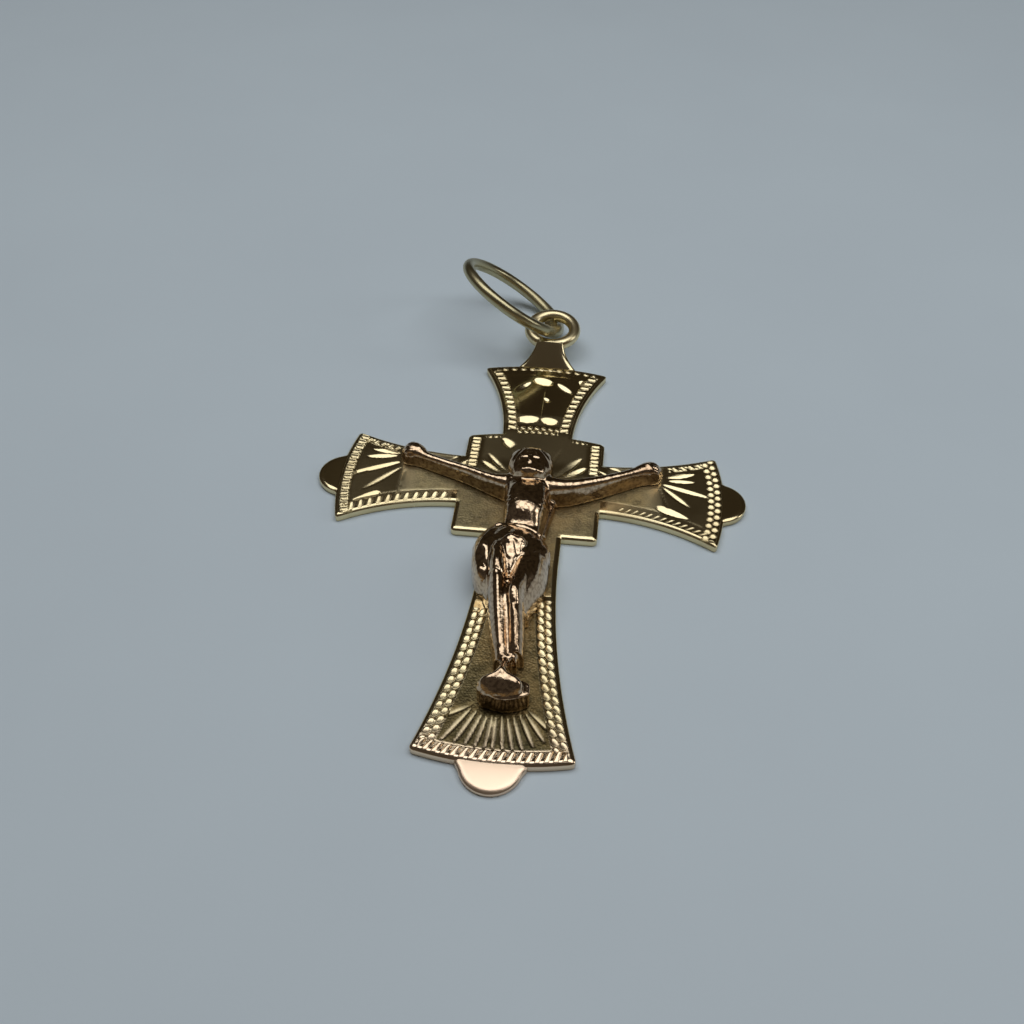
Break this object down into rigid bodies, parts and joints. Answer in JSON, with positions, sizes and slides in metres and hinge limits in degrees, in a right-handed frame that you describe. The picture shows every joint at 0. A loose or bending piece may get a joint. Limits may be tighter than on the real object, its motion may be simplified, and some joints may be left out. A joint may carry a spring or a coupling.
{
  "type": "crucifix pendant",
  "caption": "Flat gold cross with flared arms and lobed ends, a relief corpus on its face, and a jump ring through its eye for a chain.",
  "frame": {"origin": "on the plate's back face, in the middle of the crossing; the pendant lies on its back on z = 0", "axes": "+Y up the cross to the eye, +X to the right of the face, +Z out of the front face"},
  "size_m": [0.0252, 0.0403, 0.0054],
  "materials": {
    "yellow_gold": "polished, with engraved borders and a matt field",
    "red_gold": "polished cast relief",
    "pale_gold": "polished drawn wire"
  },
  "bodies": {
    "root": {"cross_plate": "yellow_gold", "corpus": "red_gold", "jump_ring": "pale_gold"}
  },
  "joints": []
}
